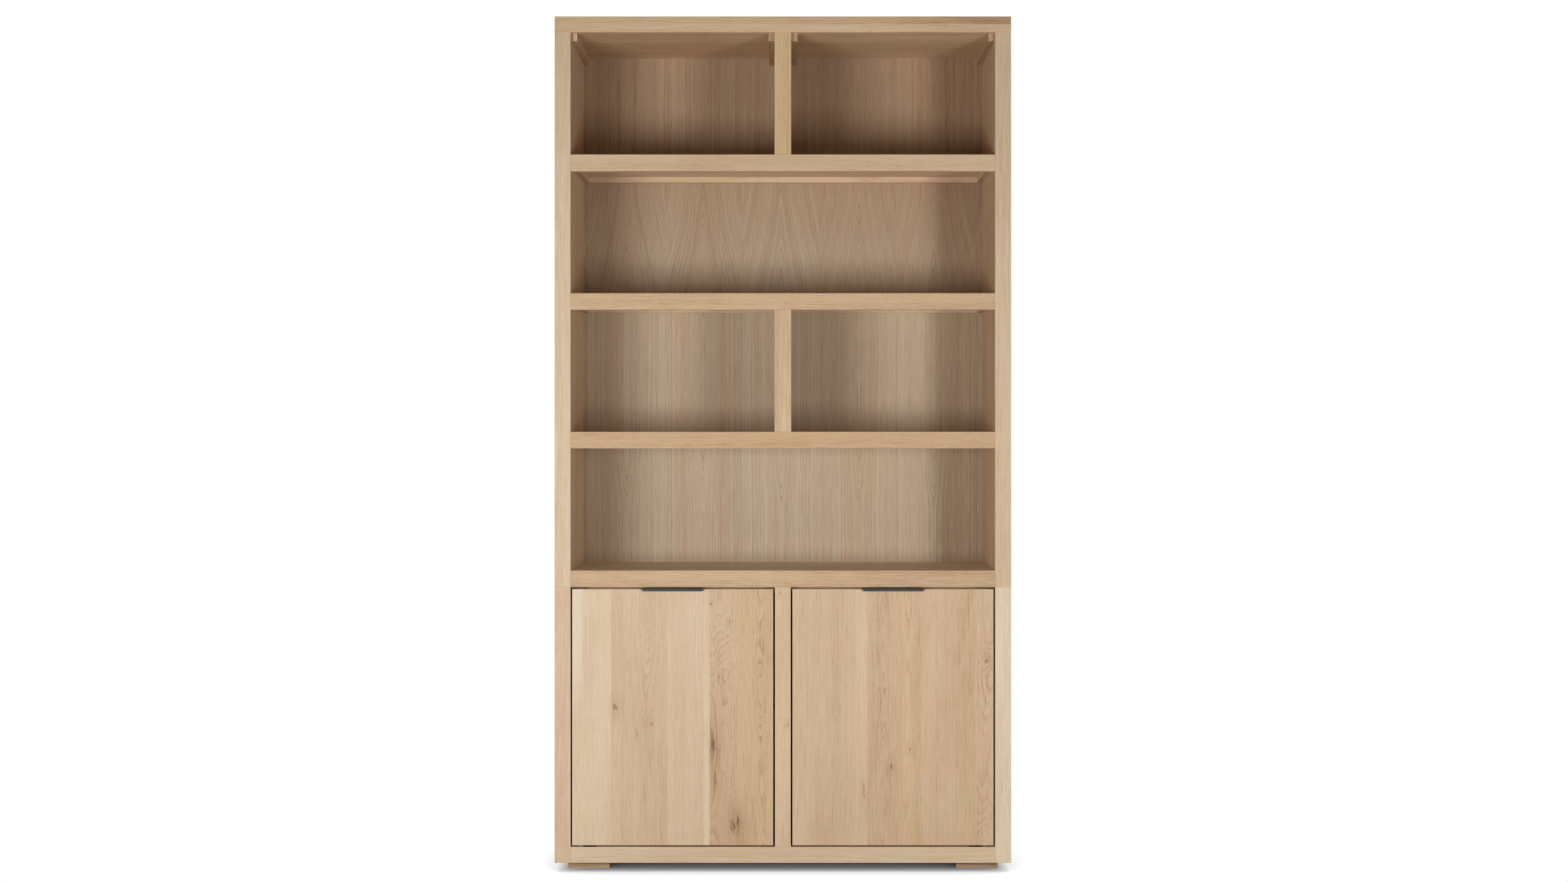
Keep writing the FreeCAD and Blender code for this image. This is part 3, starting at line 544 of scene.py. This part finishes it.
def powder_coat(name):
    """Matt powder coat: a fine orange-peel grain with a little lighter and darker speckle."""
    finish, shade, (x, y, z) = new_finish(name)
    peel = shade.noise(x * PEEL_CELLS, y * PEEL_CELLS, z * PEEL_CELLS)
    worn = shade.noise(x * 14.0, y * 60.0, z * 60.0, 3.0)
    colour = shade.blend((0.5 + 0.9 * peel + 0.8 * worn).eased(0.1, 0.9), COAT_DARK, COAT_LIGHT)
    shade.surface(colour, COAT_ROUGHNESS + 0.2 * worn, peel, PEEL_DEPTH, PEEL_BUMP,
                  **{"Specular IOR Level": COAT_GLOSS})
    return finish


coat = powder_coat("anthracite_coat")
for node in ("left_pull", "right_pull"):
    dress(node, coat)

# Feet
# Four low blocks of solid oak, screwed up into the bottom board and set back from all edges.
# Their dark tone is painted shade from under the case.
FEET = ("front_left_foot", "front_right_foot", "rear_left_foot", "rear_right_foot")

for number, node in enumerate(FEET):
    oak(node, "x", "y", 81 + number, tone=0.68, rose=0.6)

# Fittings and fixings
# Beech dowels, zinc-plated screws, shelf pins and strikes, coated pivot plates and pins, brass
# bushes in the doors, and nylon washers and catches. All sit in their own holes, and few show.
ZINC_DARK = (0.46, 0.46, 0.45, 1.0)
ZINC_LIGHT = (0.66, 0.66, 0.65, 1.0)
BRASS_DARK = (0.56, 0.40, 0.17, 1.0)
BRASS_LIGHT = (0.78, 0.61, 0.32, 1.0)
NYLON_DARK = (0.070, 0.065, 0.058, 1.0)
NYLON_LIGHT = (0.120, 0.110, 0.100, 1.0)
BEECH_DARK = (0.55, 0.39, 0.245, 1.0)
BEECH_LIGHT = (0.73, 0.57, 0.405, 1.0)
SMEAR_CELLS = 120.0
FITTING_RELIEF = 0.0001
FITTING_BUMP = 0.3


def fitting(name, dark, light, metallic, roughness, cells):
    """A small fitting's finish: two close tones in streaks, cells per metre along x, y and z."""
    finish, shade, places = new_finish(name)
    streak = shade.noise(*(place * count for place, count in zip(places, cells)), 3.0)
    smear = shade.noise(*(place * SMEAR_CELLS for place in places))
    colour = shade.blend((0.5 + 1.2 * streak + 0.8 * smear).eased(0.1, 0.9), dark, light)
    shade.surface(colour, roughness + 0.25 * smear, streak, FITTING_RELIEF, FITTING_BUMP,
                  Metallic=metallic)
    return finish


zinc = fitting("zinc_plate", ZINC_DARK, ZINC_LIGHT, 1.0, 0.34, (900.0, 900.0, 300.0))
brass = fitting("turned_brass", BRASS_DARK, BRASS_LIGHT, 1.0, 0.30, (300.0, 300.0, 2200.0))
nylon = fitting("moulded_nylon", NYLON_DARK, NYLON_LIGHT, 0.0, 0.48, (700.0, 700.0, 700.0))
beech = fitting("turned_beech", BEECH_DARK, BEECH_LIGHT, 0.0, 0.55, (60.0, 900.0, 900.0))
for finish, nodes in (
    (zinc, ("shelf_pins", "foot_screws", "back_panel_screws", "cleat_screws", "hardware_screws",
            "left_pull_screws", "right_pull_screws", "left_strike_plate", "right_strike_plate")),
    (brass, ("left_door_bushes", "right_door_bushes")),
    (coat, ("top_pivot_plates", "bottom_pivot_plates", "pivot_pins")),
    (nylon, ("thrust_washers", "magnetic_catches")),
    (beech, ("joint_dowels", "locating_dowels")),
):
    for node in nodes:
        dress(node, finish)

# Studio floor
# A wide pale floor of matt paint. It shows white to the camera by its own glow, and a painted
# shadow darkens it only where the foot of the case stands close over it, worked out from how much
# of its sky the case covers, as a floor darkens under soft light from all around.
FLOOR_HALF = 40.0
FLOOR_PAINT = (0.42, 0.42, 0.42, 1.0)
BLACK = (0.0, 0.0, 0.0, 1.0)
WHITE = (1.0, 1.0, 1.0, 1.0)
SHADOW_REACH = 0.25
SHADOW_RAYS = 96
NEAR_FLOOR = 1.3
SHADOW_SLOPE = 1.28
SHADOW_DEPTH = 0.095
OPEN_LIFT = 0.12
OPEN_FLOOR = (0.48, 0.70)

floor_mesh = bpy.data.meshes.new("studio_floor")
floor_mesh.from_pydata([(-FLOOR_HALF, -FLOOR_HALF, 0), (FLOOR_HALF, -FLOOR_HALF, 0),
                        (FLOOR_HALF, FLOOR_HALF, 0), (-FLOOR_HALF, FLOOR_HALF, 0)], [], [(0, 1, 2, 3)])
floor = bpy.data.objects.new("studio_floor", floor_mesh)
bpy.context.scene.collection.objects.link(floor)


def seen(shade):
    """1 for a ray from the camera, off metal or through glass, and 0 for a ray that lights."""
    camera_ray, glossy_ray, clear_ray = (
        shade.node("ShaderNodeLightPath", output=name)
        for name in ("Is Camera Ray", "Is Glossy Ray", "Is Transmission Ray"))
    return (camera_ray + glossy_ray + clear_ray).eased(0.0, 1.0)


floor_paint, shade, (x, y, z) = new_finish("floor_paint")
far_out = shade.math("MAXIMUM", shade.math("ABSOLUTE", x), shade.math("ABSOLUTE", y))
near = 1.0 - far_out.above(NEAR_FLOOR)
matt = shade.node("ShaderNodeBsdfDiffuse", {"Color": FLOOR_PAINT})
open_sky = shade.node("ShaderNodeAmbientOcclusion", {"Distance": SHADOW_REACH},
                      {"samples": SHADOW_RAYS}, output="AO")
# Painted shadow: the floor's white glow dims where the case hides its sky
glow = SHADOW_SLOPE * open_sky ** 0.5 - SHADOW_DEPTH + OPEN_LIFT * open_sky.eased(*OPEN_FLOOR)
white = shade.node("ShaderNodeEmission", {"Color": WHITE})
shaded = shade.node("ShaderNodeEmission", {"Color": shade.blend(glow, BLACK, WHITE)})
shown = shade.node("ShaderNodeMixShader", {0: near, 1: white, 2: shaded})
both = shade.node("ShaderNodeMixShader", {0: seen(shade), 1: matt, 2: shown})
shade.node("ShaderNodeOutputMaterial", {"Surface": both})
floor_mesh.materials.append(floor_paint)

# Studio light
# Two soft panels stand before the case, one to each side and a little below half its height, the
# left one broader and stronger. Two more hang behind its corners for the sides, back and top, and
# a faint, slightly warm fill comes from all around.
FILL_COLOUR = (0.036, 0.030, 0.022, 1.0)
AIM_HEIGHT = 0.94
PANELS = (
    # Name, place, width, height, power
    ("front_left_panel", (-1.84, -3.63, 0.90), 1.36, 0.87, 86.0),
    ("front_right_panel", (1.61, -3.02, 0.90), 0.50, 0.87, 40.5),
    ("rear_left_panel", (-3.50, 2.40, 3.30), 2.60, 2.60, 170.0),
    ("rear_right_panel", (3.50, 2.40, 3.30), 2.60, 2.60, 170.0),
)

world = bpy.data.worlds.new("studio")
world.use_nodes = True
world.node_tree.nodes.clear()
shade = Shade(world.node_tree)
colour = shade.blend(seen(shade), FILL_COLOUR, WHITE)
background = shade.node("ShaderNodeBackground", {"Color": colour})
shade.node("ShaderNodeOutputWorld", {"Surface": background})
bpy.context.scene.world = world

for name, spot, wide, tall, power in PANELS:
    light = bpy.data.lights.new(name, "AREA")
    light.shape = "RECTANGLE"
    light.size, light.size_y = wide, tall
    light.energy = power
    panel = bpy.data.objects.new(name, light)
    panel.location = spot
    aim = Vector((0.0, 0.0, AIM_HEIGHT)) - panel.location
    panel.rotation_euler = aim.to_track_quat("-Z", "Y").to_euler()
    bpy.context.scene.collection.objects.link(panel)

# Camera
# It looks straight at the front, level, from a little above half the case's height and far
# enough off for the whole of it.
CAMERA_PLACE = (0.0030, -5.965, 1.134)
CAMERA_LENS = 50.4
SENSOR_WIDTH = 36.0

camera_data = bpy.data.cameras.new("camera")
camera_data.lens = CAMERA_LENS
camera_data.sensor_width = SENSOR_WIDTH
camera = bpy.data.objects.new("camera", camera_data)
camera.location = CAMERA_PLACE
camera.rotation_euler = (math.radians(90.0), 0.0, 0.0)
bpy.context.scene.collection.objects.link(camera)
bpy.context.scene.camera = camera
bpy.context.scene.view_settings.view_transform = "Standard"
